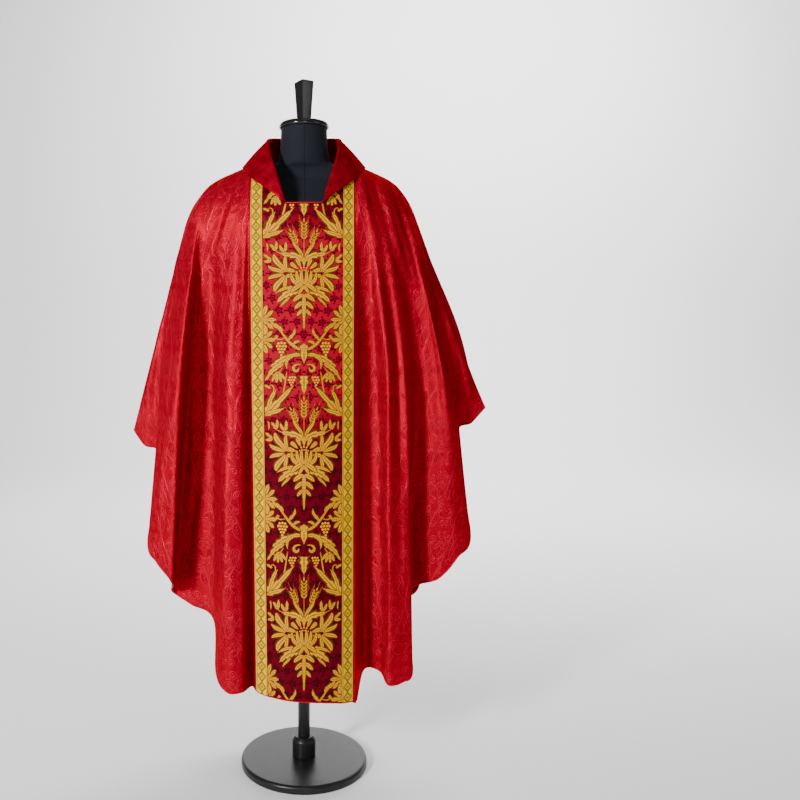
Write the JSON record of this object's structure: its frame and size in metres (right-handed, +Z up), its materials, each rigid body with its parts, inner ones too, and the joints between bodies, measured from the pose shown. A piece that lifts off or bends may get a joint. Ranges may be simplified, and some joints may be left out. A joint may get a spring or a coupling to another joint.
{
  "type": "gothic chasuble on a dress form",
  "caption": "Gothic chasuble with a turn-over collar and a brocade band edged with galloon, resting on a limbless dress form with a round base.",
  "frame": {"origin": "centre of the base plate's underside, on the floor", "axes": "+X to the right of a viewer in front, -Y the front of the chasuble, +Z up along the pole"},
  "size_m": [0.8292, 0.355, 1.6036],
  "materials": {
    "damask": "satin",
    "brocade": "satin",
    "galloon": "satin",
    "collar_cloth": "matte",
    "piping": "satin",
    "jersey": "matte",
    "gloss_black": "gloss",
    "stand_black": "satin"
  },
  "bodies": {
    "root": {"front_panel": "damask", "back_panel": "damask", "front_orphrey": "brocade", "back_orphrey": "brocade", "front_galloon_left": "galloon", "front_galloon_right": "galloon", "back_galloon_left": "galloon", "back_galloon_right": "galloon", "collar": "collar_cloth", "neck_binding": "piping", "front_hem_piping": "piping", "back_hem_piping": "piping", "form_torso": "jersey", "form_neck_cap": "gloss_black", "form_handle": "gloss_black", "stand_base": "stand_black", "stand_hub": "stand_black", "stand_pole": "stand_black"}
  },
  "joints": []
}
